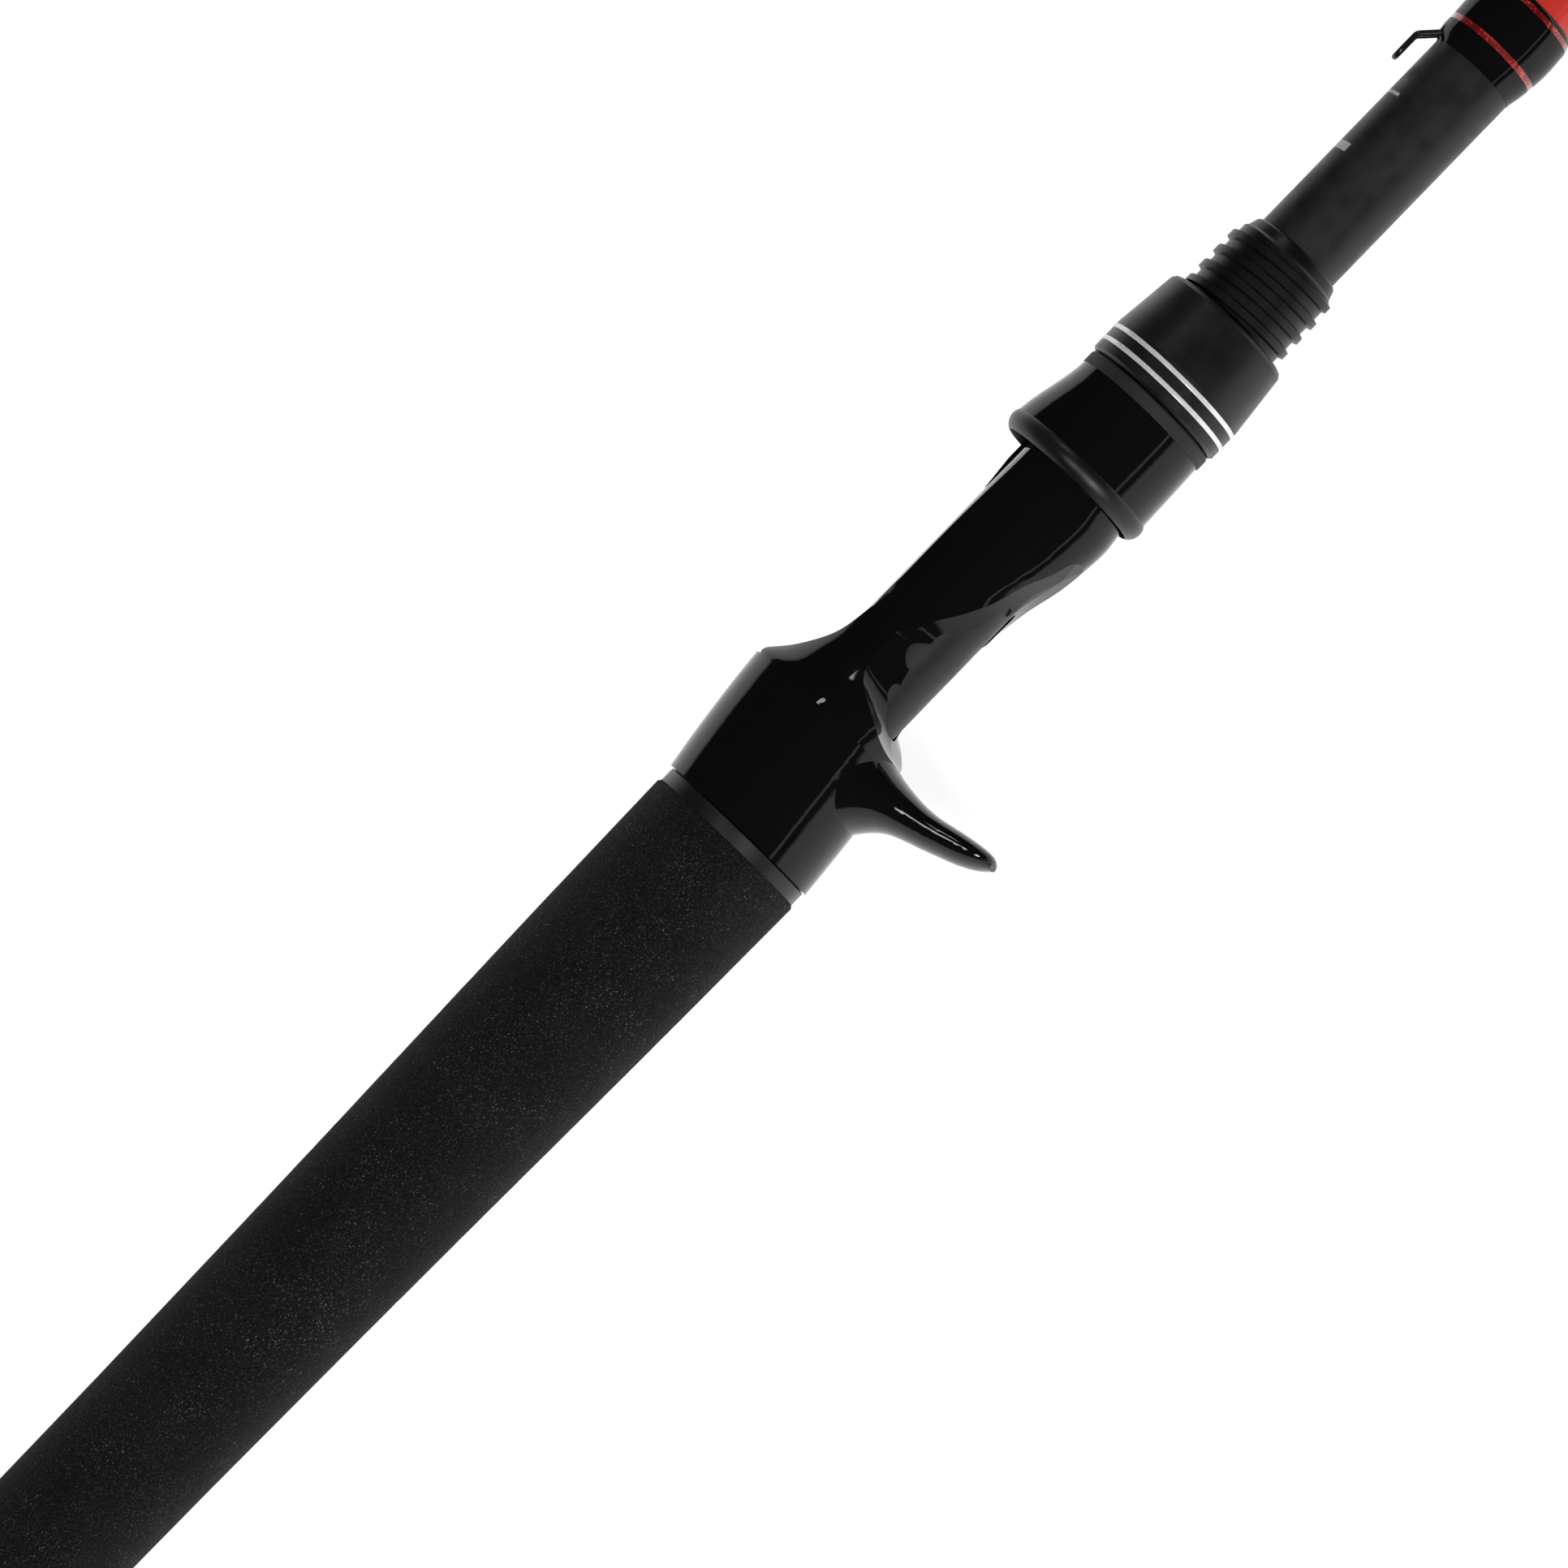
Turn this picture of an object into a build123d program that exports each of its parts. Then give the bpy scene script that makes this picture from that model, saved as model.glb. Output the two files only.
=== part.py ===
from build123d import *
import os

os.makedirs("parts", exist_ok=True)

# A one-piece casting rod with a trigger reel seat and no reel. The rod lies on its side:
# +X runs along the blank from the butt to the tip, +Y is the side that carries the reel and
# the guides, -Y is the trigger side, and +Z is up. Z = 0 is the surface that the rod lies on.
# Stations along the rod are measured from the rear face of the reel seat, in millimetres.

# ---------------------------------------------------------------- driving dimensions
total_length = 1829.0  # a 6 ft rod, from the end of the butt cap to the tip guide
rear_handle_length = 266.0  # from the end of the butt cap to the reel seat
barrel_side = 14.65  # half width of the rear barrel, which is what the rod lies on
trigger_reach = 35.2  # from the rod's axis to the trigger's tip
stripper_height = 15.0  # from the blank's surface to the first guide's ring centre

blank_radius = 7.6
blank_taper_start = 190.0
blank_tip_radius = 1.3
blank_wall = 1.5
seat_bore = 7.9  # the seat is bored over size and packed out with shims
deck_height = 9.3
deck_radius = 13.4

thread_pitch = 3.25
thread_crest_radius = 9.95
thread_root_radius = 9.2
thread_start = 77.0
thread_end = 123.4
keyway_width = 6.0
keyway_floor = 8.85
keyway_start = 75.9

nut_bore = 10.15
slide_bore = 10.2
hood_rear = 76.35
hood_front = 91.05
nut_rear = 93.65
nut_front = 111.15
wire = 1.0

tip_station = total_length - rear_handle_length
seat_x = rear_handle_length - total_length / 2


def blank_radius_at(station):
    """Outer radius of the blank, which is parallel in the handle and tapers to the tip."""
    taper = (blank_radius - blank_tip_radius) / (tip_station - blank_taper_start)
    return blank_radius - max(0.0, station - blank_taper_start) * taper


# Guides, from the butt end: distance from the tip, ring diameter, height of the ring's
# centre over the blank, and whether the frame has a foot on each side of its ring.
guide_list = [
    (1000.0, 16.0, stripper_height, True),
    (790.0, 12.0, 11.5, True),
    (610.0, 10.0, 9.5, True),
    (455.0, 10.0, 8.5, False),
    (320.0, 9.0, 7.5, False),
    (200.0, 9.0, 7.0, False),
    (95.0, 9.0, 6.8, False),
]
ring_width = 2.2
ring_edge = 0.6
ring_bore_share = 0.72  # ring's hole over its outside diameter
holder_wall = 0.9
holder_width = 1.6
foot_length = 12.0
foot_width = 3.2
foot_height = 0.7
leg_radius = 0.62
leg_bend = 3.0
leg_angle = 55.0  # from straight below the ring to where a leg meets its holder

stripper_station = tip_station - guide_list[0][0]
guide_reach = (
    blank_radius_at(stripper_station) + stripper_height + guide_list[0][1] / 2 + holder_wall
)
axis_y = (trigger_reach - guide_reach) / 2  # centres the whole rod on Y = 0
axis_z = barrel_side

rod_plane = Plane(origin=(seat_x, axis_y, axis_z))
rod_axis = Axis((seat_x, axis_y, axis_z), (1, 0, 0))


# ---------------------------------------------------------------- shared helpers
def cross_plane(station):
    """Plane across the rod at a station; its local Y is the reel side."""
    return Plane(origin=(seat_x + station, axis_y, axis_z), x_dir=(0, 0, -1), z_dir=(1, 0, 0))


def depth_plane(station, depth):
    """Plane facing the trigger side, at a depth below the rod's axis; its local X is +X."""
    origin = (seat_x + station, axis_y - depth, axis_z)
    return Plane(origin=origin, x_dir=(1, 0, 0), z_dir=(0, -1, 0))


def turned(points):
    """Half profile of a turned piece, from (station, radius) points."""
    with BuildSketch(rod_plane) as profile:
        with BuildLine():
            Polyline(points, close=True)
        make_face()
    return profile.sketch


def sleeve(rear, front, inner, outer):
    """Half profile of a plain tube around the rod."""
    return turned([(rear, inner), (front, inner), (front, outer), (rear, outer)])


def egg(station, top, side, bottom):
    """Egg-shaped section: its reel side, its width and its trigger side differ."""
    with BuildSketch(cross_plane(station)) as section:
        with BuildLine():
            EllipticalCenterArc((0, 0), side, top, 0, arc_size=180)
            EllipticalCenterArc((0, 0), side, bottom, 180, arc_size=180)
        make_face()
    return section.sketch


def eggs(rows):
    """Sections for a loft, from (station, top, side, bottom) rows."""
    return [egg(*row) for row in rows]


def thread_ridge(station, turns, inner, outer, root_half, crest_half):
    """Helical ridge around the rod: a trapezoid swept along a right-hand helix."""
    centre = rod_plane.from_local_coords(Vector(station, 0, 0))
    with BuildPart() as thread:
        with BuildLine() as path:
            Helix(
                pitch=thread_pitch,
                height=thread_pitch * turns,
                radius=thread_root_radius,
                center=centre,
                direction=(1, 0, 0),
            )
        outward = (path.line @ 0) - centre
        across = Vector(1, 0, 0).cross(outward)
        with BuildSketch(Plane(origin=centre, x_dir=(1, 0, 0), z_dir=across)):
            with BuildLine():
                Polyline(
                    (-root_half, inner),
                    (root_half, inner),
                    (crest_half, outer),
                    (-crest_half, outer),
                    close=True,
                )
            make_face()
        sweep(path=path.line, is_frenet=True)
    return thread.part


def finish(builder, name):
    """Labels a piece and writes its file."""
    builder.part.label = name
    export_step(builder.part, f"parts/{name}.step")


# ---------------------------------------------------------------- blank
blank_rear = -262.0
blank_front = tip_station - 3.0

with BuildPart() as blank_outside:
    revolve(
        turned(
            [
                (blank_rear, 0),
                (blank_rear, blank_radius),
                (blank_taper_start, blank_radius),
                (blank_front, blank_radius_at(blank_front)),
                (blank_front, 0),
            ]
        ),
        axis=rod_axis,
    )

with BuildPart() as blank:
    add(blank_outside.part)
    revolve(
        turned(
            [
                (blank_rear, 0),
                (blank_rear, blank_radius - blank_wall),
                (blank_taper_start, blank_radius - blank_wall),
                (blank_front, 0.5),
                (blank_front, 0),
            ]
        ),
        axis=rod_axis,
        mode=Mode.SUBTRACT,
    )
finish(blank, "blank")

# ---------------------------------------------------------------- rear handle
grip_rear = -250.0
grip_front = -2.6
cap_rear = -rear_handle_length
grip_bore = blank_radius + 0.05

with BuildPart() as rear_grip:
    with BuildSketch(rod_plane) as grip_profile:
        with BuildLine():
            outline = Spline(
                (grip_front - 0.5, 14.6),
                (-44, 14.0),
                (-77, 13.35),
                (-110, 12.8),
                (-147, 12.4),
                (-185, 12.5),
                (-222, 13.4),
                (grip_rear, 14.2),
            )
            Polyline(
                outline @ 1,
                (grip_rear, grip_bore),
                (grip_front, grip_bore),
                (grip_front, 14.2),
                outline @ 0,
            )
        make_face()
    revolve(axis=rod_axis)
finish(rear_grip, "rear_grip")

with BuildPart() as butt_cap:
    with BuildSketch(rod_plane) as cap_profile:
        with BuildLine():
            cap_top = Line((grip_rear, 14.2), (grip_rear - 6, 14.45))
            cap_round = Spline(cap_top @ 1, (cap_rear + 3.4, 12.9), (cap_rear, 6.5))
            Polyline(
                cap_round @ 1,
                (cap_rear, 0),
                (blank_rear, 0),
                (blank_rear, grip_bore),
                (grip_rear, grip_bore),
                cap_top @ 0,
            )
        make_face()
    revolve(axis=rod_axis)
finish(butt_cap, "butt_cap")

with BuildPart() as winding_check:
    revolve(sleeve(grip_front, -0.1, grip_bore, 14.22), axis=rod_axis)
    chamfer(winding_check.edges().group_by(Axis.X)[-1].sort_by(SortBy.RADIUS)[-1], 0.2)
finish(winding_check, "winding_check")

# ---------------------------------------------------------------- reel seat body
seat_length = 126.75
lip_station = 22.5
pocket_width = 14.8
neck_front = 76.8
ear_front = 40.0

barrel_rows = [
    (0, 14.8, barrel_side, 14.7),
    (11, 16.7, 14.4, 13.6),
    (lip_station, 18.1, 13.8, 12.2),
]
neck_rows = [
    (lip_station, 18.1, 13.8, 12.2),
    (25, 17.2, 12.9, 11.7),
    (28, 14.9, 11.6, 11.0),
    (30, 13.8, 10.9, 10.5),
    (32.5, 12.6, 10.3, 9.95),
    (36, 11.9, 9.75, 9.2),
    (40, 11.6, 9.4, 8.8),
    (46, 11.6, 9.35, 8.4),
    (52, 11.6, 9.35, 8.35),
    (56, 11.6, 9.4, 8.7),
    (60, 11.5, 9.6, 9.7),
    (64, 11.3, 9.95, 10.5),
    (68, 11.2, 10.3, 11.0),
    (72, 11.2, 10.5, 11.2),
    (neck_front, 11.2, 10.5, 11.1),
]
# Trigger sections from its root to its tip: station, depth, half thickness, half width.
trigger_rows = [
    (16.8, 6.0, 10.4, 9.5),
    (17.0, 10.0, 8.3, 9.0),
    (18.0, 13.8, 5.8, 7.8),
    (19.1, 16.8, 4.2, 6.8),
    (19.5, 18.8, 3.6, 6.2),
    (20.1, 22.6, 3.0, 5.5),
    (21.15, 27.1, 2.65, 5.0),
    (22.2, 31.2, 2.2, 4.5),
    (22.9, 33.5, 1.6, 3.7),
]
# The hollow round the window, from rear to front: station, then depth and half width at the
# window's rim, then depth and half width where the hollow meets the outside.
hollow_rows = [
    (24.4, 12.2, 0.5, 11.6, 8.4),
    (25.6, 9.3, 0.5, 8.9, 9.1),
    (27.0, 7.75, 1.6, 6.8, 9.8),
    (28.5, 6.6, 4.3, 4.2, 10.6),
    (30.5, 5.4, 5.75, 1.6, 10.6),
    (33.0, 4.4, 6.55, 0.5, 9.95),
    (37.0, 3.43, 7.1, -0.2, 9.5),
    (41.5, 4.0, 6.8, 1.4, 9.25),
    (46.5, 5.6, 5.57, 3.8, 8.4),
    (50.5, 7.0, 3.6, 5.6, 7.2),
    (53.8, 7.9, 0.6, 6.7, 5.9),
    (57.0, 8.2, 0.6, 7.6, 4.8),
    (60.5, 9.1, 0.6, 8.8, 3.8),
    (64.5, 10.2, 0.6, 10.0, 3.0),
    (68.0, 12.0, 0.6, 11.8, 3.0),
]
hollow_overrun = 4.0
hollow_floor = 16.0


def hollow_section(station, rim_depth, rim_side, outer_depth, outer_side):
    """Section of the tool for the hollow: two slopes with the space below them."""
    slope = Vector(outer_side - rim_side, rim_depth - outer_depth).normalized()
    inset = min(1.2, (rim_side - 0.5) / slope.X)
    half = [
        (rim_side - slope.X * inset, -rim_depth - slope.Y * inset),
        (outer_side + slope.X * hollow_overrun, -outer_depth + slope.Y * hollow_overrun),
        (outer_side + slope.X * hollow_overrun + 1, -hollow_floor),
    ]
    with BuildSketch(cross_plane(station)) as section:
        with BuildLine():
            Polyline(*half, *[(-side, level) for side, level in reversed(half)], close=True)
        make_face()
    return section.sketch


with BuildPart() as reel_seat_body:
    loft(eggs(barrel_rows))
    loft(eggs(neck_rows))
    # Front of the seat: a chamfered step, the threaded tube and the front collar.
    revolve(
        turned(
            [
                (76, 0),
                (76, thread_root_radius),
                (124.4, thread_root_radius),
                (124.9, 8.75),
                (126.4, 8.3),
                (seat_length, 7.9),
                (seat_length, 0),
            ]
        ),
        axis=rod_axis,
    )
    # Trigger, with a rounded tip.
    trigger_sections = []
    for station, depth, half_thickness, half_width in trigger_rows:
        with BuildSketch(depth_plane(station, depth), mode=Mode.PRIVATE) as blade:
            Ellipse(half_thickness, half_width)
        trigger_sections.append(blade.sketch)
    with BuildSketch(depth_plane(23.0, trigger_reach), mode=Mode.PRIVATE) as blade_end:
        Ellipse(0.5, 1.5)
    trigger_sections.append(blade_end.sketch)
    loft(trigger_sections)
    # Window on the trigger side, where the blank shows, with the hollow round it.
    loft([hollow_section(*row) for row in hollow_rows], mode=Mode.SUBTRACT)
    # Pocket of the fixed hood, which takes the rear of the reel's foot.
    with BuildSketch(cross_plane(7.0)) as foot_pocket:
        Ellipse(9.2, 15.2)
        with Locations((0, deck_height - deck_radius)):
            Circle(deck_radius, mode=Mode.SUBTRACT)
        with Locations((0, 4)):
            Rectangle(pocket_width, 30, align=(Align.CENTER, Align.MIN), mode=Mode.INTERSECT)
    extrude(amount=17, mode=Mode.SUBTRACT)
    # The deck that the foot stands on, between the ears and then over the whole neck.
    for rear, front, width in [
        (lip_station, ear_front, pocket_width),
        (ear_front, neck_front + 1, 2 * barrel_side),
    ]:
        with BuildSketch(cross_plane(rear)):
            Rectangle(width, 30, align=(Align.CENTER, Align.MIN))
            with Locations((0, deck_height - deck_radius)):
                Circle(deck_radius, mode=Mode.SUBTRACT)
        extrude(amount=front - rear, mode=Mode.SUBTRACT)
    # Ramp at the front of the deck, which tightens the reel's foot.
    with BuildSketch(cross_plane(66.0), mode=Mode.PRIVATE) as ramp_low:
        with Locations((0, deck_height - 1)):
            Rectangle(6.4, 0.9, align=(Align.CENTER, Align.MIN))
    with BuildSketch(cross_plane(72.0), mode=Mode.PRIVATE) as ramp_high:
        with Locations((0, deck_height - 1)):
            Rectangle(6.4, 1.5, align=(Align.CENTER, Align.MIN))
    with BuildSketch(cross_plane(76.8), mode=Mode.PRIVATE) as ramp_end:
        with Locations((0, deck_height - 1)):
            Rectangle(6.4, 1.5, align=(Align.CENTER, Align.MIN))
    loft([ramp_low.sketch, ramp_high.sketch, ramp_end.sketch], ruled=True)
    # Bore for the blank, with a closer fit in the front collar.
    revolve(sleeve(-1, 120, 0, seat_bore), axis=rod_axis, mode=Mode.SUBTRACT)
    revolve(sleeve(119, 130, 0, grip_bore), axis=rod_axis, mode=Mode.SUBTRACT)

seat_thread = thread_ridge(
    thread_start,
    (thread_end - thread_start) / thread_pitch,
    thread_root_radius - 0.25,
    thread_crest_radius,
    1.0,
    0.6,
)

with BuildPart() as keyway:
    with BuildSketch(cross_plane(keyway_start)) as keyway_section:
        with Locations((0, keyway_floor)):
            Rectangle(keyway_width, 4, align=(Align.CENTER, Align.MIN))
    extrude(amount=thread_end + 0.4 - keyway_start)

with BuildPart() as reel_seat:
    add(reel_seat_body.part)
    add(seat_thread)
    add(keyway.part, mode=Mode.SUBTRACT)
finish(reel_seat, "reel_seat_body")

for name, rear, front in [
    ("seat_shim_rear", 2.0, 20.0),
    ("seat_shim_middle", 60.0, 76.0),
    ("seat_shim_front", 100.0, 118.0),
]:
    with BuildPart() as shim:
        revolve(sleeve(rear, front, blank_radius, seat_bore), axis=rod_axis)
    finish(shim, name)

# ---------------------------------------------------------------- moving hood
web_rear = 85.25
hood_rows = [
    (hood_rear, 14.75, 12.75, 12.6),
    (80.75, 14.45, 12.65, 12.5),
    (web_rear, 13.4, 12.45, 12.4),
    (hood_front, 12.35, 12.25, 12.2),
]
cavity_rows = [(hood_rear - 1.2, 13.6, 11.75, 11.7), (web_rear, 12.4, 11.5, 11.6)]
web_front = 87.95
sleeve_bore = 11.05
clip_rear = 88.85
clip_front = 90.05

with BuildPart() as hood_cavity:
    loft(eggs(cavity_rows))

with BuildPart() as hood_bead_outside:
    loft(
        eggs(
            [
                (hood_rear - 0.9, 13.75, 11.9, 11.85),
                (hood_rear - 0.1, 14.6, 12.75, 12.65),
                (hood_rear + 0.9, 15.0, 13.1, 13.0),
                (hood_rear + 1.8, 14.95, 13.05, 12.95),
                (hood_rear + 2.6, 14.5, 12.6, 12.45),
            ]
        )
    )

with BuildPart() as hood_spigot:
    loft(
        eggs(
            [
                (hood_rear, 14.15, 12.2, 12.1),
                (hood_rear + 2.4, 14.1, 12.2, 12.1),
            ]
        )
    )

with BuildPart() as hood_liner:
    add(hood_bead_outside.part)
    add(hood_cavity.part, mode=Mode.SUBTRACT)
    add(hood_spigot.part, mode=Mode.SUBTRACT)
    with BuildSketch(cross_plane(hood_rear + 2.4)) as liner_end:
        Circle(20)
    extrude(amount=2, mode=Mode.SUBTRACT)
finish(hood_liner, "hood_liner")

with BuildPart() as hood_shell:
    loft(eggs(hood_rows))
    with BuildSketch(cross_plane(hood_rear - 1)) as spigot_trim:
        Circle(20)
    extrude(amount=3.4, mode=Mode.SUBTRACT)
    add(hood_spigot.part)
    add(hood_cavity.part, mode=Mode.SUBTRACT)
    revolve(sleeve(web_rear - 0.5, 95, 0, slide_bore), axis=rod_axis, mode=Mode.SUBTRACT)
    revolve(sleeve(web_front, 95, 0, sleeve_bore), axis=rod_axis, mode=Mode.SUBTRACT)
    revolve(sleeve(clip_rear, clip_front, 0, 11.65), axis=rod_axis, mode=Mode.SUBTRACT)
    with BuildSketch(cross_plane(web_rear)) as key:
        with Locations((0, keyway_floor + 0.3)):
            Rectangle(keyway_width - 0.6, 1.6, align=(Align.CENTER, Align.MIN))
    extrude(amount=web_front - web_rear)
finish(hood_shell, "hood_shell")

washer_front = 93.35

with BuildPart() as hood_washer:
    revolve(sleeve(hood_front, washer_front, sleeve_bore, 12.45), axis=rod_axis)
    fillet(hood_washer.edges().filter_by(GeomType.CIRCLE).sort_by(SortBy.RADIUS)[-2:], 0.35)
finish(hood_washer, "hood_washer")

# ---------------------------------------------------------------- lock nut
ring_stations = {"nut_ring_rear": 95.65, "nut_ring_front": 98.2}
ring_band = 0.8
nut_ring_depth = 12.4
nut_body_radius = 12.83
nut_spigot_rear = 88.25
clip_groove_rear = 89.05

with BuildPart() as lock_nut_body:
    revolve(
        turned(
            [
                (nut_spigot_rear, nut_bore),
                (nut_spigot_rear, 10.9),
                (nut_rear, 10.9),
                (nut_rear, 12.3),
                (nut_rear + 0.5, nut_body_radius),
                (99.7, nut_body_radius),
                (110.3, 11.7),
                (110.9, 11.3),
                (nut_front, 10.7),
                (nut_front, nut_bore),
            ]
        ),
        axis=rod_axis,
    )
    revolve(
        sleeve(clip_groove_rear, clip_groove_rear + 0.8, 10.6, 11),
        axis=rod_axis,
        mode=Mode.SUBTRACT,
    )
    for rear in ring_stations.values():
        revolve(
            sleeve(rear, rear + ring_band, nut_ring_depth, 13.5),
            axis=rod_axis,
            mode=Mode.SUBTRACT,
        )

nut_thread = thread_ridge(
    thread_start + 6.5 * thread_pitch, 2.5, nut_bore + 0.3, 9.5, 0.8, 0.4
)

with BuildPart() as lock_nut:
    add(lock_nut_body.part)
    add(nut_thread)
finish(lock_nut, "lock_nut")

for name, rear in ring_stations.items():
    with BuildPart() as nut_ring:
        revolve(sleeve(rear, rear + ring_band, nut_ring_depth, 12.92), axis=rod_axis)
        fillet(nut_ring.edges().filter_by(GeomType.CIRCLE).sort_by(SortBy.RADIUS)[-2:], 0.15)
    finish(nut_ring, name)

# Open spring clip that holds the nut in the hood, so that the nut also draws it back.
with BuildPart() as nut_clip:
    revolve(
        sleeve(clip_groove_rear + 0.1, clip_groove_rear + 0.7, 10.62, 11.4),
        axis=rod_axis,
    )
    with BuildSketch(cross_plane(clip_groove_rear - 0.5)) as clip_gap:
        with Locations((0, -11)):
            Rectangle(5, 4)
    extrude(amount=2, mode=Mode.SUBTRACT)
finish(nut_clip, "nut_clip")

# ---------------------------------------------------------------- hook keeper and its wrap
keeper_side = 1.6
keeper_foot = 7.97
keeper_height = 10.6
keeper_bend = 161.65
keeper_shoulder = 164.9
keeper_root = 167.7
keeper_end = 178.0
keeper_turn = 22
keeper_plane = rod_plane.rotated((keeper_turn, 0, 0))

with BuildPart() as hook_keeper:
    with BuildLine(keeper_plane) as keeper_path:
        side_run = FilletPolyline(
            (keeper_end, keeper_foot, keeper_side),
            (keeper_root, keeper_foot, keeper_side),
            (keeper_shoulder, keeper_height, keeper_side),
            (keeper_bend, keeper_height, keeper_side),
            radius=1.2,
        )
        ThreePointArc(
            (keeper_bend, keeper_height, keeper_side),
            (keeper_bend - keeper_side, keeper_height, 0),
            (keeper_bend, keeper_height, -keeper_side),
        )
        FilletPolyline(
            (keeper_bend, keeper_height, -keeper_side),
            (keeper_shoulder, keeper_height, -keeper_side),
            (keeper_root, keeper_foot, -keeper_side),
            (keeper_end, keeper_foot, -keeper_side),
            radius=1.2,
        )
    keeper_origin = keeper_plane.from_local_coords((keeper_end, keeper_foot, keeper_side))
    with BuildSketch(Plane(origin=keeper_origin, z_dir=(-1, 0, 0))) as keeper_section:
        Circle(wire / 2)
    sweep(path=keeper_path.line)
finish(hook_keeper, "hook_keeper")

wrap_rows = [
    (166.6, 7.72, 7.68, 7.68),
    (167.3, 8.1, 7.8, 7.75),
    (168.2, 8.55, 8.0, 7.95),
    (170.0, 8.78, 8.3, 8.25),
    (173.0, 8.8, 8.6, 8.55),
    (177.0, 8.68, 8.58, 8.55),
    (179.2, 8.42, 8.38, 8.36),
    (180.2, 8.1, 8.08, 8.06),
    (180.7, 7.72, 7.7, 7.7),
]
with BuildPart() as wrap_outside:
    loft(eggs(wrap_rows))

with BuildPart() as trim_tool_rear:
    revolve(sleeve(170.6, 171.6, 8.1, 12), axis=rod_axis)

with BuildPart() as trim_tool_front:
    revolve(sleeve(179.0, 179.9, 8.0, 12), axis=rod_axis)

with BuildPart() as keeper_trim_rear:
    add(wrap_outside.part)
    add(trim_tool_rear.part, mode=Mode.INTERSECT)
    add(hook_keeper.part, mode=Mode.SUBTRACT)
finish(keeper_trim_rear, "keeper_trim_rear")

with BuildPart() as keeper_trim_front:
    add(wrap_outside.part)
    add(trim_tool_front.part, mode=Mode.INTERSECT)
finish(keeper_trim_front, "keeper_trim_front")

with BuildPart() as keeper_wrap:
    add(wrap_outside.part)
    add(blank_outside.part, mode=Mode.SUBTRACT)
    add(trim_tool_rear.part, mode=Mode.SUBTRACT)
    add(trim_tool_front.part, mode=Mode.SUBTRACT)
    add(hook_keeper.part, mode=Mode.SUBTRACT)
finish(keeper_wrap, "keeper_wrap")


# ---------------------------------------------------------------- guides
def guide_plane(station, height):
    """Plane across the rod at a guide, centred on the guide's ring."""
    origin = (seat_x + station, axis_y + height, axis_z)
    return Plane(origin=origin, x_dir=(0, 0, -1), z_dir=(1, 0, 0))


def ring_profile(station, height, inner, outer, width):
    """Half section of a ring around a guide's own axis."""
    origin = (seat_x + station, axis_y + height, axis_z)
    with BuildSketch(Plane(origin=origin)) as profile:
        with Locations((0, (inner + outer) / 2)):
            Rectangle(width, outer - inner)
    return profile.sketch


def leg_foot(ring_radius):
    """How far below and beside its centre a ring's holder meets a leg."""
    reach = Vector(0, ring_radius + leg_radius, 0).rotate(Axis.Z, leg_angle)
    return reach.Y, -reach.X


def foot_rows(station, way):
    """Stations where a foot starts and ends; way is +1 for a foot towards the tip."""
    near = station + way * 4.5
    return sorted([near, near + way * foot_length])


def make_guide(number, station, ring_diameter, height, two_feet):
    """One guide: a wire frame, its ceramic ring and the wraps over its feet."""
    local_radius = blank_radius_at(station)
    centre = local_radius + height
    ring_radius = ring_diameter / 2
    ring_axis = Axis((seat_x + station, axis_y + centre, axis_z), (1, 0, 0))
    ways = [1, -1] if two_feet else [1]

    with BuildPart() as ring:
        hole = ring_radius * ring_bore_share
        revolve(ring_profile(station, centre, hole, ring_radius, ring_width), axis=ring_axis)
        fillet(ring.edges().filter_by(GeomType.CIRCLE).sort_by(SortBy.RADIUS)[:2], ring_edge)
    finish(ring, f"guide_{number}_ring")

    with BuildPart() as frame:
        for way in ways:
            rear, front = foot_rows(station, way)
            foot_origin = (seat_x + (rear + front) / 2, axis_y + local_radius - 0.6, axis_z)
            with BuildSketch(Plane(origin=foot_origin, x_dir=(1, 0, 0), z_dir=(0, 1, 0))):
                SlotOverall(foot_length, foot_width)
            extrude(amount=foot_height + 0.6)
        add(blank_outside.part, mode=Mode.SUBTRACT)
        for way in ways:
            near = station + way * 5.5
            for side in (1, -1):
                start = Vector(seat_x + near, axis_y + local_radius + 0.75, axis_z + side * 0.8)
                elbow_height = axis_y + local_radius + height * 0.35
                elbow = Vector(seat_x + station + way * 2.2, elbow_height, axis_z + side * 2.4)
                down, across = leg_foot(ring_radius)
                end = Vector(
                    seat_x + station + way * 0.3, axis_y + centre - down, axis_z + side * across
                )
                with BuildLine() as leg:
                    FilletPolyline(start, elbow, end, radius=leg_bend)
                with BuildSketch(Plane(origin=leg.line @ 0, z_dir=leg.line % 0)):
                    Circle(leg_radius)
                sweep(path=leg.line)
        holder_radius = ring_radius + holder_wall
        with BuildSketch(guide_plane(station - holder_width / 2, centre)):
            Circle(holder_radius)
        extrude(amount=holder_width)
        with BuildSketch(guide_plane(station - 2, centre)):
            Circle(ring_radius)
        extrude(amount=4, mode=Mode.SUBTRACT)
    finish(frame, f"guide_{number}_frame")

    with BuildPart() as wraps:
        for way in ways:
            rear, front = foot_rows(station, way)
            start, end = (rear + 2.2, front + 2.5) if way > 0 else (rear - 2.5, front - 2.2)
            rows = []
            for place, over_foot, coat in [
                (start, 0.25, 0.15),
                (start + 1.2, 1.1, 0.5),
                (end - 2.4, 1.1, 0.5),
                (end, 0.2, 0.15),
            ]:
                base = blank_radius_at(place)
                rows.append((place, base + over_foot, base + coat, base + coat))
            loft(eggs(rows), ruled=True)
        add(blank_outside.part, mode=Mode.SUBTRACT)
        add(frame.part, mode=Mode.SUBTRACT)
    finish(wraps, f"guide_{number}_wraps")


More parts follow.
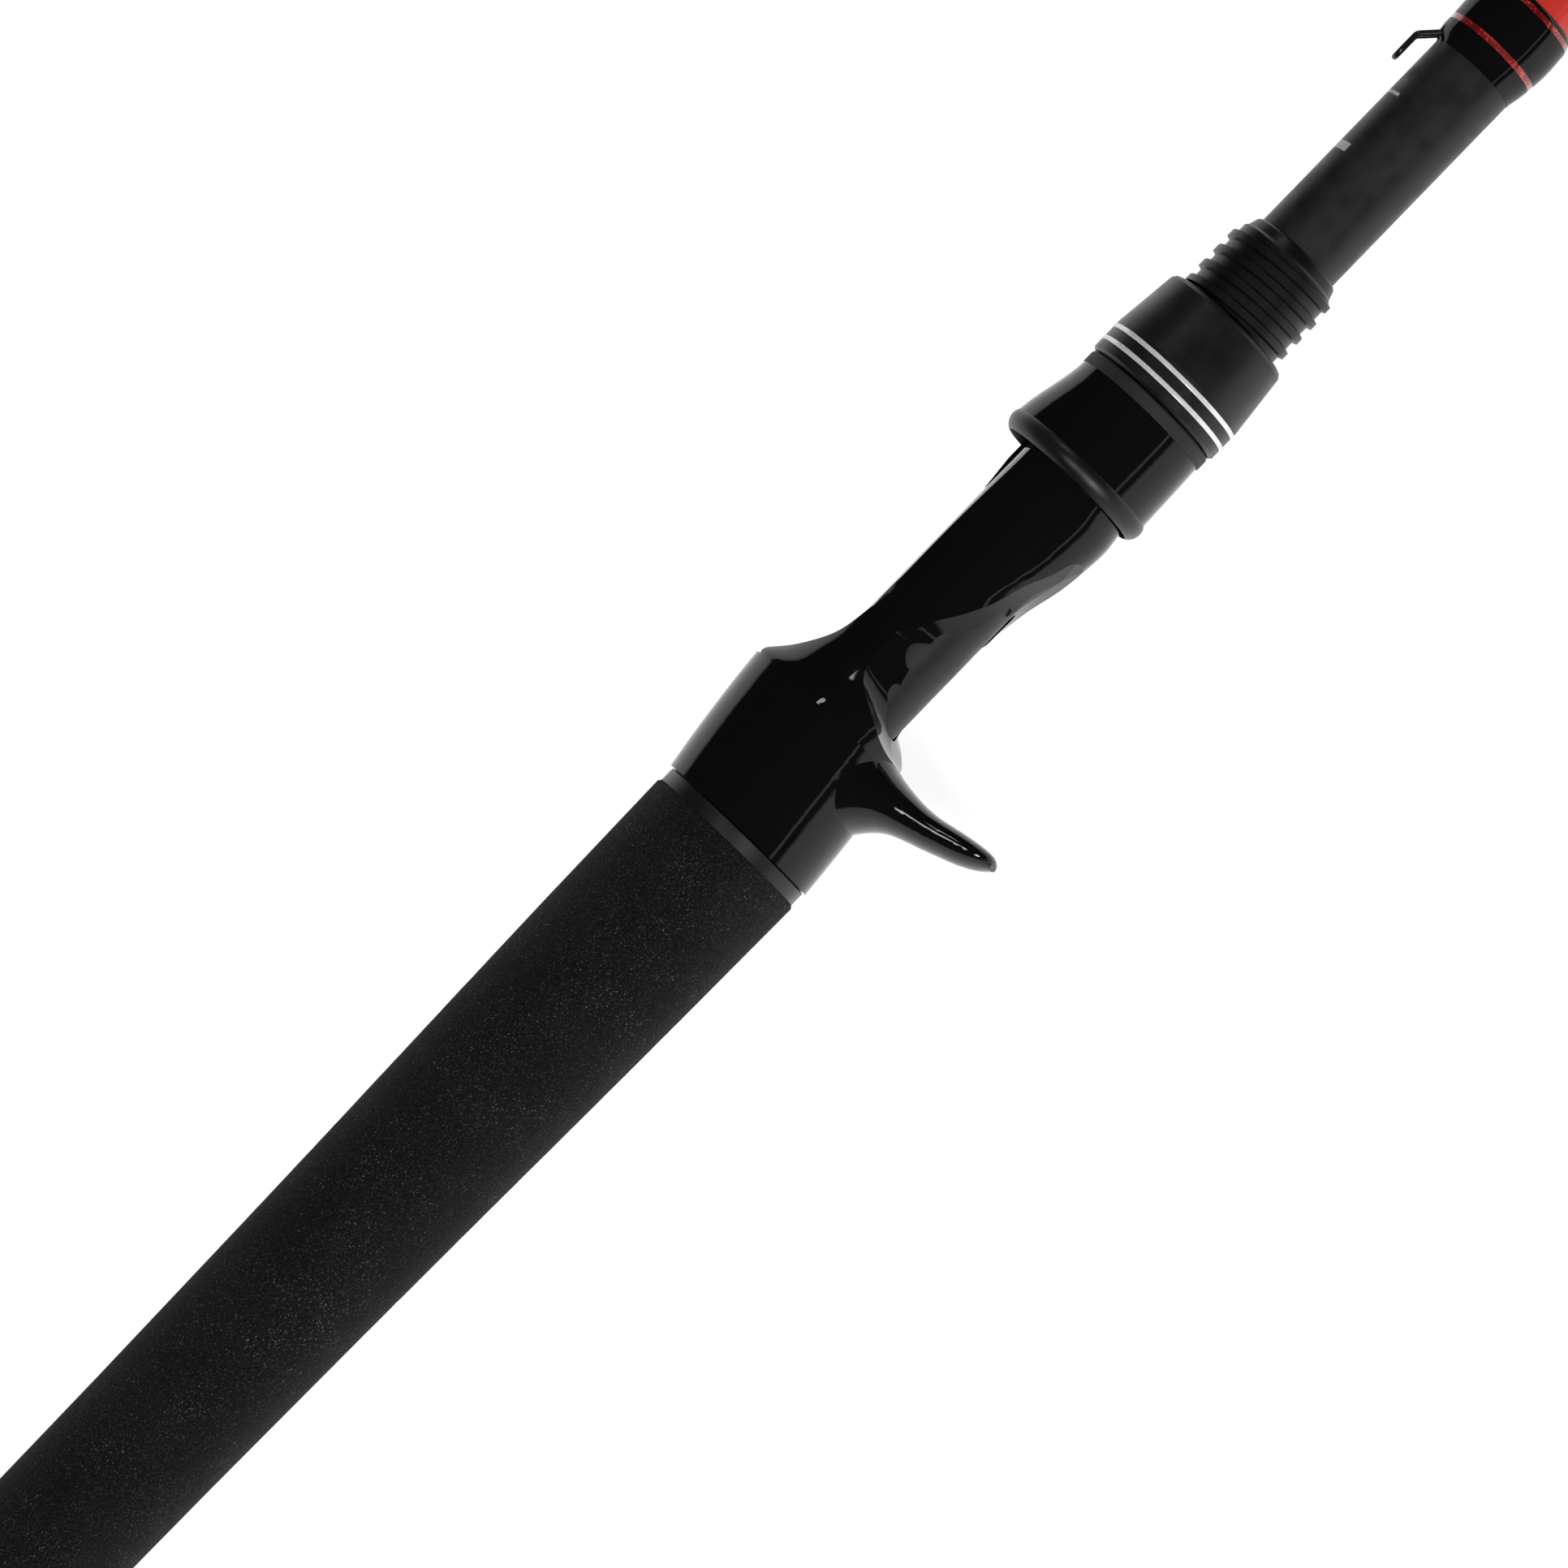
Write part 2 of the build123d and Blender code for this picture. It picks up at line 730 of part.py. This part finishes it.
for index, (from_tip, ring_diameter, height, two_feet) in enumerate(guide_list):
    make_guide(index + 1, tip_station - from_tip, ring_diameter, height, two_feet)

# ---------------------------------------------------------------- tip guide
tip_ring_radius = 4.5
tip_ring_station = tip_station - ring_width / 2
tip_height = 6.2
tube_rear = tip_station - 14.0
tube_front = tip_station - 2.6
tip_axis = Axis((seat_x + tip_ring_station, axis_y + tip_height, axis_z), (1, 0, 0))

with BuildPart() as tip_ring:
    revolve(
        ring_profile(
            tip_ring_station,
            tip_height,
            tip_ring_radius * ring_bore_share,
            tip_ring_radius,
            ring_width,
        ),
        axis=tip_axis,
    )
    fillet(tip_ring.edges().filter_by(GeomType.CIRCLE).sort_by(SortBy.RADIUS)[:2], ring_edge)
finish(tip_ring, "tip_ring")

with BuildPart() as tip_frame:
    revolve(
        turned([(tube_rear, 0), (tube_rear, 2.1), (tube_front, 2.1), (tube_front, 0)]),
        axis=rod_axis,
    )
    fillet(tip_frame.edges().group_by(Axis.X)[-1], 0.8)
    with BuildSketch(guide_plane(tip_ring_station + holder_width / 2, tip_height)) as tip_disc:
        Circle(tip_ring_radius + holder_wall)
    extrude(amount=-holder_width)
    for side in (1, -1):
        start = Vector(seat_x + tube_rear + 3, axis_y + 1.4, axis_z + side * 0.9)
        elbow = Vector(seat_x + tip_ring_station - 4, axis_y + 2.6, axis_z + side * 2.4)
        down, across = leg_foot(tip_ring_radius)
        end = Vector(
            seat_x + tip_ring_station, axis_y + tip_height - down, axis_z + side * across
        )
        with BuildLine() as tip_leg:
            FilletPolyline(start, elbow, end, radius=leg_bend)
        with BuildSketch(Plane(origin=tip_leg.line @ 0, z_dir=tip_leg.line % 0)):
            Circle(leg_radius)
        sweep(path=tip_leg.line)
    add(blank_outside.part, mode=Mode.SUBTRACT)
    with BuildSketch(guide_plane(tip_ring_station + holder_width / 2, tip_height)) as tip_hole:
        Circle(tip_ring_radius)
    extrude(amount=-3, mode=Mode.SUBTRACT)
finish(tip_frame, "tip_frame")

with BuildPart() as tip_wrap:
    loft(
        eggs(
            [
                (tube_rear - 5.0, 1.5, 1.5, 1.5),
                (tube_rear - 4.0, 1.95, 1.95, 1.95),
                (tube_rear - 0.6, 2.15, 2.15, 2.15),
                (tube_rear, 2.0, 2.0, 2.0),
            ]
        ),
        ruled=True,
    )
    add(blank_outside.part, mode=Mode.SUBTRACT)
finish(tip_wrap, "tip_wrap")
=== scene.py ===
import math

import bpy
from mathutils import Matrix, Vector


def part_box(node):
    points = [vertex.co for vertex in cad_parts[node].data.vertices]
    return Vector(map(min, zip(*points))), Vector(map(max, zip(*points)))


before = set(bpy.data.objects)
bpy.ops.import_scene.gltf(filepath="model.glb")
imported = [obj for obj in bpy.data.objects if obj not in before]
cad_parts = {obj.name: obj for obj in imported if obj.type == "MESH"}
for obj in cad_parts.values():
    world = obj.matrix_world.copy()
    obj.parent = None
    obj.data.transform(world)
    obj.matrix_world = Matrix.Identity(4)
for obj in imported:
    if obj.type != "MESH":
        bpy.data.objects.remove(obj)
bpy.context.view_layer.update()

MM = 0.001
scene = bpy.context.scene
scene.view_settings.view_transform = "Standard"

# ---------------------------------------------------------------- where things are
# Stations are in mm along the rod, from the rear end of the reel seat towards the tip.
CHECK_TO_SEAT = 0.1 * MM
check_low, check_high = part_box("winding_check")
_, wrap_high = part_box("keeper_wrap")
axis_y = (check_low.y + check_high.y) / 2
axis_z = (check_low.z + check_high.z) / 2
seat_x = check_high.x + CHECK_TO_SEAT


def on_axis(station_mm):
    """The place on the rod's axis at a station."""
    return Vector((seat_x + station_mm * MM, axis_y, axis_z))


# ---------------------------------------------------------------- camera
# It stands square to the rod at one station, above the trigger side, and looks at another,
# a little towards the trigger side. DISTANCE is in metres and LENS in mm.
FOOT_STATION = -33.0
AIM_STATION = 10.3
AIM_DROP = 0.1 * MM
DISTANCE = 1.26
SWING = math.radians(68)
ROLL = math.radians(45.89)
LENS = 184.0

aim = on_axis(AIM_STATION) - Vector((0, math.sin(SWING), math.cos(SWING))) * AIM_DROP
offset = Vector((0, -math.cos(SWING), math.sin(SWING))) * DISTANCE
eye = on_axis(FOOT_STATION) + offset
forward = (aim - eye).normalized()
along = Vector((1, 0, 0))
along = (along - forward * along.dot(forward)).normalized()
across = along.cross(forward)
right = along * math.cos(ROLL) - across * math.sin(ROLL)
up = along * math.sin(ROLL) + across * math.cos(ROLL)
camera_data = bpy.data.cameras.new("camera")
camera = bpy.data.objects.new("camera", camera_data)
scene.collection.objects.link(camera)
rotation = Matrix((right, up, -forward)).transposed().to_4x4()
camera.matrix_world = Matrix.Translation(eye) @ rotation
camera_data.lens = LENS
camera_data.sensor_width = 36
camera_data.clip_start = 0.01
camera_data.clip_end = 30
scene.camera = camera


# ---------------------------------------------------------------- node helpers
class Nodes:
    """A node tree and short calls that add nodes to it."""

    def __init__(self, tree):
        self.tree = tree

    def add(self, kind, **settings):
        node = self.tree.nodes.new(kind)
        for key, value in settings.items():
            setattr(node, key, value)
        return node

    def wire(self, source, target):
        """Feeds an input from another node's output, or sets it to a value."""
        if hasattr(source, "is_output"):
            self.tree.links.new(source, target)
        else:
            target.default_value = source

    def part_of(self, vector, axis):
        """The X, Y or Z of a vector."""
        node = self.add("ShaderNodeSeparateXYZ")
        self.wire(vector, node.inputs["Vector"])
        return node.outputs[axis]

    def ramp(self, value, low, high, start=0.0, end=1.0):
        """Smoothly maps value from low..high to start..end."""
        node = self.add("ShaderNodeMapRange", interpolation_type="SMOOTHSTEP")
        self.wire(value, node.inputs["Value"])
        for key, number in (
            ("From Min", low),
            ("From Max", high),
            ("To Min", start),
            ("To Max", end),
        ):
            node.inputs[key].default_value = number
        return node.outputs["Result"]


class Surface(Nodes):
    """A Principled material whose patterns are laid out in object coordinates."""

    EDGE = 0.03 * MM
    COAT_ROUGHNESS = 0.025

    def __init__(self, name, roughness, specular=0.5, metallic=0.0):
        self.material = bpy.data.materials.new(name)
        self.material.use_nodes = True
        super().__init__(self.material.node_tree)
        self.shader = self.tree.nodes["Principled BSDF"]
        self.shader.inputs["Roughness"].default_value = roughness
        self.shader.inputs["Specular IOR Level"].default_value = specular
        self.shader.inputs["Metallic"].default_value = metallic
        self.place = self.add("ShaderNodeTexCoord").outputs["Object"]

    def stretched(self, along, around):
        """Object coordinates scaled along the rod and across it."""
        mapping = self.add("ShaderNodeMapping")
        self.wire(self.place, mapping.inputs["Vector"])
        mapping.inputs["Scale"].default_value = (along, around, around)
        return mapping.outputs["Vector"]

    def noise(self, size_mm, detail=2.0, roughness=0.5, vector=None):
        """Noise from 0 to 1 whose grain is about size_mm."""
        node = self.add("ShaderNodeTexNoise")
        self.wire(vector or self.place, node.inputs["Vector"])
        node.inputs["Scale"].default_value = 1 / (size_mm * MM)
        node.inputs["Detail"].default_value = detail
        node.inputs["Roughness"].default_value = roughness
        return node.outputs["Fac"]

    def cells(self, size_mm, output="Distance"):
        """Cells about size_mm across, as the distance to their middles or as colours."""
        node = self.add("ShaderNodeTexVoronoi")
        self.wire(self.place, node.inputs["Vector"])
        node.inputs["Scale"].default_value = 1 / (size_mm * MM)
        return node.outputs[output]

    def math(self, operation, a, b=0.0, c=0.0, clamp=False):
        node = self.add("ShaderNodeMath", operation=operation, use_clamp=clamp)
        for value, socket in zip((a, b, c), node.inputs):
            self.wire(value, socket)
        return node.outputs[0]

    def waves(self, x, pitch_mm):
        """A sine along the rod, with one wave every pitch_mm."""
        return self.math("SINE", self.math("MULTIPLY", x, 2 * math.pi / (pitch_mm * MM)))

    def mix(self, share, a, b):
        """Colour a where share is 0 and colour b where it is 1."""
        node = self.add("ShaderNodeMix", data_type="RGBA")
        self.wire(share, node.inputs["Factor"])
        # A Mix node has sockets A, B and Result for each data type; these are its colours.
        for value, index in ((a, 6), (b, 7)):
            if not hasattr(value, "is_output"):
                value = (*value, 1.0)
            self.wire(value, node.inputs[index])
        return node.outputs[2]

    def color(self, value):
        self.wire(value, self.shader.inputs["Base Color"])

    def roughness(self, value):
        self.wire(value, self.shader.inputs["Roughness"])

    def bump(self, height, depth_mm, strength=1.0):
        node = self.add("ShaderNodeBump")
        node.inputs["Strength"].default_value = strength
        node.inputs["Distance"].default_value = depth_mm * MM
        self.wire(height, node.inputs["Height"])
        self.wire(node.outputs["Normal"], self.shader.inputs["Normal"])

    def coat(self, weight):
        self.shader.inputs["Coat Weight"].default_value = weight
        self.shader.inputs["Coat Roughness"].default_value = self.COAT_ROUGHNESS

    def position(self, axis):
        """Where a point of the surface is along X, Y or Z, in metres."""
        return self.part_of(self.place, axis)

    def band(self, x, start, end):
        """1 between two places along the rod, given in metres, and 0 elsewhere."""
        rise = self.ramp(x, start - self.EDGE, start + self.EDGE)
        fall = self.ramp(x, end - self.EDGE, end + self.EDGE, 1.0, 0.0)
        return self.math("MULTIPLY", rise, fall)


def dress(surface, *nodes):
    """Gives CAD nodes a surface."""
    for name in nodes:
        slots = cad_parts[name].data.materials
        slots.clear()
        slots.append(surface.material)


# ---------------------------------------------------------------- surfaces
SPECK = (0.05, 0.05, 0.05)
RED = (0.66, 0.045, 0.034)
DEEP_RED = (0.44, 0.022, 0.018)
DARK_GLITTER = (0.22, 0.003, 0.003)
BRIGHT_GLITTER = (1.0, 0.07, 0.05)
SILVER = (0.5, 0.52, 0.54)


def foam():
    """Closed-cell foam: black, with pores and faint smears, and pale specks in clusters that are
    painted highlights, the foam's sparkle painted into its colour.
    """
    s = Surface("foam", 0.95, specular=0.22)
    grain = s.noise(0.28, 4.0, 0.7)
    pores = s.cells(0.55)
    patches = s.noise(14, 3.0, 0.6)
    smears = s.ramp(s.noise(5, 4.0, 0.75), 0.56, 0.8)
    tone = s.math("MULTIPLY", s.ramp(patches, 0.35, 0.7), 0.005)
    tone = s.math("MULTIPLY_ADD", s.ramp(grain, 0.5, 0.68), 0.05, tone)
    tone = s.math("MULTIPLY_ADD", smears, 0.010, tone)
    # Painted highlights: clusters of pale specks in the colour stand in for the glints of the
    # foam.
    glint_clusters = s.ramp(s.noise(9, 4.0, 0.7), 0.4, 0.7, 0.25, 1.0)
    painted_glints = s.math("MULTIPLY", s.ramp(s.noise(0.26, 1.0), 0.62, 0.78), glint_clusters)
    tone = s.math("MULTIPLY_ADD", painted_glints, 0.42, tone)
    s.color(s.mix(tone, (0.001, 0.001, 0.001), (0.5, 0.5, 0.49)))
    s.shader.inputs["Sheen Weight"].default_value = 0.03
    height = s.math("MULTIPLY_ADD", pores, 0.5, grain)
    s.bump(height, 0.22, 0.9)
    return s


def lacquer(name):
    """A black lacquer, with its dust specks and the slight haze of its gloss."""
    s = Surface(name, 0.05, specular=0.3)
    specks = s.ramp(s.noise(0.35, 1.0), 0.8, 0.86)
    s.color(s.mix(specks, (0.004, 0.004, 0.0042), SPECK))
    haze = s.ramp(s.noise(9, 3.0, 0.6), 0.35, 0.75, 0.035, 0.075)
    return s, specks, haze


def gloss_black(name):
    """Lacquer with a faint ripple and duller specks."""
    s, specks, haze = lacquer(name)
    s.roughness(s.math("MULTIPLY_ADD", specks, 0.3, haze))
    s.bump(s.noise(4.5, 1.0), 0.003, 0.4)
    return s


def seat_black(satin_start):
    """Lacquer on the handle part of the seat and satin on its threaded front."""
    s, _, haze = lacquer("seat_gloss")
    soft = 0.2 * MM
    front = s.ramp(s.position("X"), satin_start - soft, satin_start + soft)
    grain = s.noise(0.14, 3.0, 0.65)
    satin = s.ramp(grain, 0.3, 0.7, 0.3, 0.42)
    s.roughness(s.math("MULTIPLY_ADD", front, s.math("SUBTRACT", satin, haze), haze))
    s.bump(s.math("MULTIPLY", grain, front), 0.02, 0.5)
    return s


def satin_black(name, tone, roughness, grain_mm, depth_mm, turned=0.0):
    """Satin moulding with a grain and, where turned is over 0, fine lathe lines."""
    s = Surface(name, roughness, specular=0.38)
    grain = s.noise(grain_mm, 3.0, 0.65)
    lines = s.noise(0.09, 2.0, 0.6, s.stretched(1.0, 0.02))
    blotch = s.noise(6, 3.0, 0.6)
    dust = s.ramp(s.noise(0.22, 1.0), 0.79, 0.84)
    cloud = s.math("MULTIPLY", blotch, 0.5)
    light = s.math("MULTIPLY_ADD", s.ramp(grain, 0.3, 0.75), 0.5, cloud)
    body = s.mix(light, (tone * 0.55,) * 3, (tone * 1.5,) * 3)
    s.color(s.mix(dust, body, (0.16, 0.16, 0.16)))
    s.roughness(s.ramp(blotch, 0.3, 0.7, roughness - 0.05, roughness + 0.06))
    s.bump(s.math("MULTIPLY_ADD", lines, turned, grain), depth_mm, 0.6)
    return s


def polished_ring():
    """Silver with fine lines round the ring."""
    s = Surface("polished_ring", 0.22, metallic=0.3)
    lines = s.noise(0.05, 2.0, 0.6, s.stretched(1.0, 0.02))
    tint = s.noise(1.5, 2.0)
    s.color(s.mix(tint, (0.88, 0.88, 0.89), (0.98, 0.98, 0.98)))
    s.roughness(s.ramp(lines, 0.3, 0.7, 0.16, 0.3))
    s.bump(lines, 0.004, 0.4)
    return s


# Plain pin lines round the reel side of the blank: the station of each and its width, in mm.
PIN_LINES = ((143.0, 1.6), (155.1, 0.6))


def blank_paint(red_start):
    """Matt black on the handle part of the blank, with pin lines, and pearl red in front."""
    s = Surface("blank_paint", 0.42, specular=0.4)
    x = s.position("X")
    edge = 0.04 * MM
    red = s.ramp(x, red_start - edge, red_start + edge)
    weave = s.noise(0.18, 3.0, 0.65)
    blotch = s.noise(5, 4.0, 0.65)
    shade = s.math("MULTIPLY_ADD", weave, 0.5, s.math("MULTIPLY", blotch, 0.5))
    matt = s.mix(shade, (0.004, 0.004, 0.004), (0.017, 0.017, 0.0175))
    pearl = s.ramp(s.noise(0.1, 2.0), 0.4, 0.75)
    depth = s.ramp(s.noise(22, 2.0), 0.3, 0.7)
    glow = s.math("MULTIPLY_ADD", pearl, 0.35, s.math("MULTIPLY", depth, 0.4))
    paint = s.mix(glow, DEEP_RED, RED)
    paint = s.mix(s.math("MULTIPLY", pearl, 0.25), RED, paint)
    base = s.mix(red, matt, paint)
    lift = s.math("SUBTRACT", s.position("Y"), axis_y)
    reel_side = s.ramp(lift, 3.6 * MM, 3.8 * MM)
    lines = 0.0
    for station, width in PIN_LINES:
        start = on_axis(station).x
        line = s.band(x, start, start + width * MM)
        lines = s.math("ADD", line, lines, clamp=True)
    worn = s.ramp(s.noise(0.3, 3.0, 0.7), 0.3, 0.42)
    silver = s.math("MULTIPLY", s.math("MULTIPLY", lines, reel_side), worn)
    s.color(s.mix(silver, base, SILVER))
    matt_rough = s.ramp(blotch, 0.3, 0.7, 0.36, 0.5)
    s.roughness(s.math("MULTIPLY_ADD", red, -0.28, matt_rough, clamp=True))
    s.bump(weave, 0.02, 0.35)
    return s


def thread_wrap(name, trims):
    """Black thread under clear epoxy, with metallic red trims from start to end, in metres."""
    s = Surface(name, 0.45, specular=0.0)
    x = s.position("X")
    turns = s.waves(x, 0.22)
    fibre = s.noise(0.06, 2.0, 0.6, s.stretched(1.0, 0.1))
    # The turns paint shade: the thread is lighter on the crests of its turns and darker in the
    # grooves between them. The fibre noise is the thread's own tone.
    shade = s.math("MULTIPLY_ADD", turns, 0.3, fibre)
    thread = s.mix(shade, (0.001, 0.001, 0.0012), (0.007, 0.007, 0.008))
    mask = 0.0
    for start, end in trims:
        mask = s.math("ADD", s.band(x, start, end), mask, clamp=True)
    s.color(s.mix(mask, thread, glitter(s)))
    s.coat(0.6)
    s.bump(s.math("MULTIPLY_ADD", fibre, 0.5, turns), 0.02, 0.35)
    return s


def glitter(s):
    """Red metallic thread: flakes from dark to bright."""
    flake = s.add("ShaderNodeSeparateColor")
    s.wire(s.cells(0.2, "Color"), flake.inputs["Color"])
    bright = s.ramp(flake.outputs["Red"], 0.45, 0.95)
    drift = s.ramp(s.noise(1.4, 2.0), 0.42, 0.6)
    return s.mix(s.math("MULTIPLY", bright, drift), DARK_GLITTER, BRIGHT_GLITTER)


def red_trim():
    """Metallic red thread under clear epoxy."""
    s = Surface("red_trim", 0.3, metallic=0.35)
    s.color(glitter(s))
    s.coat(1.0)
    s.bump(s.cells(0.2), 0.03, 0.4)
    return s


def plated_wire(name, tone):
    """Black plating, worn paler in places, with drawing lines along the rod."""
    s = Surface(name, 0.22, metallic=0.55)
    lines = s.noise(0.05, 2.0, 0.6, s.stretched(0.05, 1.0))
    wear = s.ramp(s.noise(0.9, 4.0, 0.7), 0.62, 0.78)
    s.color(s.mix(wear, (tone, tone, tone * 1.05), (tone * 3,) * 3))
    s.roughness(s.ramp(lines, 0.3, 0.7, 0.16, 0.3))
    s.bump(lines, 0.01, 0.3)
    return s


def ceramic():
    """Dark polished ring that the line runs through."""
    s = Surface("guide_ceramic", 0.12)
    cloud = s.noise(0.8, 4.0, 0.6)
    s.color(s.mix(cloud, (0.012, 0.013, 0.015), (0.05, 0.053, 0.06)))
    s.roughness(s.ramp(s.noise(0.2, 2.0), 0.3, 0.7, 0.08, 0.18))
    s.bump(cloud, 0.004, 0.3)
    return s


def tape():
    """Pale woven tape of the shims inside the seat."""
    s = Surface("shim_tape", 0.7)
    weave = s.waves(s.position("X"), 0.8)
    # The weave paints shade: the tape is lighter on its ridges and darker in the dips between
    # them, on top of its own mottled tone.
    shade = s.math("MULTIPLY_ADD", weave, 0.25, s.noise(0.5))
    s.color(s.mix(shade, (0.5, 0.47, 0.38), (0.75, 0.72, 0.62)))
    s.bump(weave, 0.05, 0.5)
    return s


def butt_rubber():
    """Scuffed black rubber."""
    s = Surface("butt_rubber", 0.6)
    grain = s.noise(0.2, 3.0, 0.6)
    scuff = s.ramp(s.noise(3, 5.0, 0.75), 0.58, 0.75)
    s.color(s.mix(scuff, (0.01, 0.01, 0.01), (0.035, 0.035, 0.034)))
    s.roughness(s.ramp(grain, 0.3, 0.7, 0.5, 0.68))
    s.bump(grain, 0.05, 0.5)
    return s


def spring_steel():
    """Bright steel with fine lines round the clip."""
    s = Surface("spring_steel", 0.3, metallic=1.0)
    lines = s.noise(0.05, 2.0, 0.6, s.stretched(1.0, 0.05))
    s.color(s.mix(lines, (0.35, 0.35, 0.36), (0.6, 0.6, 0.61)))
    s.bump(lines, 0.01, 0.4)
    return s


SATIN_STATION = 76.6
RED_LEAD = 0.2 * MM
guides = [f"guide_{i}" for i in range(1, 8)]

dress(foam(), "rear_grip")
dress(butt_rubber(), "butt_cap")
check_satin = satin_black(
    "winding_check", tone=0.008, roughness=0.34, grain_mm=0.25, depth_mm=0.02, turned=0.6
)
liner_satin = satin_black("hood_liner", tone=0.006, roughness=0.36, grain_mm=0.16, depth_mm=0.03)
washer_grain = satin_black("washer_grain", tone=0.016, roughness=0.62, grain_mm=0.3, depth_mm=0.14)
nut_satin = satin_black("nut_satin", tone=0.007, roughness=0.36, grain_mm=0.14, depth_mm=0.018)
dress(check_satin, "winding_check")
dress(seat_black(on_axis(SATIN_STATION).x), "reel_seat_body")
dress(gloss_black("hood_gloss"), "hood_shell")
dress(liner_satin, "hood_liner")
dress(washer_grain, "hood_washer")
dress(nut_satin, "lock_nut")
dress(polished_ring(), "nut_ring_rear", "nut_ring_front")
dress(spring_steel(), "nut_clip")
dress(tape(), "seat_shim_rear", "seat_shim_middle", "seat_shim_front")
dress(blank_paint(wrap_high.x - RED_LEAD), "blank")
dress(thread_wrap("keeper_wrap", ()), "keeper_wrap")
dress(red_trim(), "keeper_trim_rear", "keeper_trim_front")
dress(plated_wire("keeper_wire", tone=0.02), "hook_keeper")
guide_wire = plated_wire("guide_wire", tone=0.03)
dress(guide_wire, "tip_frame", *[f"{guide}_frame" for guide in guides])
dress(ceramic(), "tip_ring", *[f"{guide}_ring" for guide in guides])
# A red trim lies near each outer end of a guide's wraps.
TRIM_START, TRIM_END = 1.2 * MM, 1.9 * MM
for name in ["tip_wrap"] + [f"{guide}_wraps" for guide in guides]:
    low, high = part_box(name)
    rear_trim = (low.x + TRIM_START, low.x + TRIM_END)
    front_trim = (high.x - TRIM_END, high.x - TRIM_START)
    dress(thread_wrap(name, [rear_trim, front_trim]), name)

# ---------------------------------------------------------------- floor, world and lights
FLOOR_HALF = 4.0
FLOOR_GLOW = 0.93
SKY_LOW, SKY_HIGH = 0.9, 0.03
SKY_FADE_END = 0.08
LIT_STATION = 60

corners = [(-1, -1), (1, -1), (1, 1), (-1, 1)]
places = [(FLOOR_HALF * x, FLOOR_HALF * y, 0) for x, y in corners]
floor_mesh = bpy.data.meshes.new("floor")
floor_mesh.from_pydata(places, [], [(0, 1, 2, 3)])
floor = bpy.data.objects.new("floor", floor_mesh)
scene.collection.objects.link(floor)
# The paper gives off most of its brightness, so that it stays white and almost shadowless.
paper = Surface("floor_paper", 1.0, specular=0.0)
paper.color(paper.mix(paper.noise(30, 2.0), (0.27, 0.27, 0.27), (0.29, 0.29, 0.29)))
paper.shader.inputs["Emission Color"].default_value = (1, 1, 1, 1)
paper.shader.inputs["Emission Strength"].default_value = FLOOR_GLOW
floor_mesh.materials.append(paper.material)

# The sky is bright at the horizon only, so that gloss parts mirror a dark room overhead.
world = bpy.data.worlds.new("studio")
scene.world = world
world.use_nodes = True
sky = Nodes(world.node_tree)
height = sky.part_of(sky.add("ShaderNodeTexCoord").outputs["Generated"], "Z")
background = sky.tree.nodes["Background"]
background.inputs["Color"].default_value = (1, 1, 1, 1)
fade = sky.ramp(height, 0.0, SKY_FADE_END, SKY_LOW, SKY_HIGH)
sky.wire(fade, background.inputs["Strength"])


def softbox(name, towards, distance, width, height, watts):
    """A rectangular lamp that faces the reel seat from a direction. Sizes are in metres."""
    data = bpy.data.lights.new(name, "AREA")
    data.shape = "RECTANGLE"
    data.size = width
    data.size_y = height
    data.energy = watts
    data.spread = math.pi
    lamp = bpy.data.objects.new(name, data)
    scene.collection.objects.link(lamp)
    towards = Vector(towards).normalized()
    lamp.location = on_axis(LIT_STATION) + towards * distance
    side = Vector((1, 0, 0))
    side = (side - towards * side.dot(towards)).normalized()
    lamp.rotation_euler = Matrix((side, towards.cross(side), towards)).transposed().to_euler()


# A key light over the trigger side and the butt, a weak fill over the reel side and the tip,
# an overhead lamp that draws the lines along gloss parts, and a long low strip on the
# trigger side.
softbox("key", (-0.36, -0.64, 0.68), distance=1.5, width=0.36, height=0.36, watts=12)
softbox("fill", (0.55, 0.35, 0.76), distance=1.6, width=0.25, height=0.25, watts=2)
softbox("glint", (-0.31, -0.04, 0.95), distance=1.5, width=0.22, height=0.44, watts=4.6)
softbox("strip", (0, -0.97, 0.25), distance=1.5, width=2.6, height=0.10, watts=0.8)
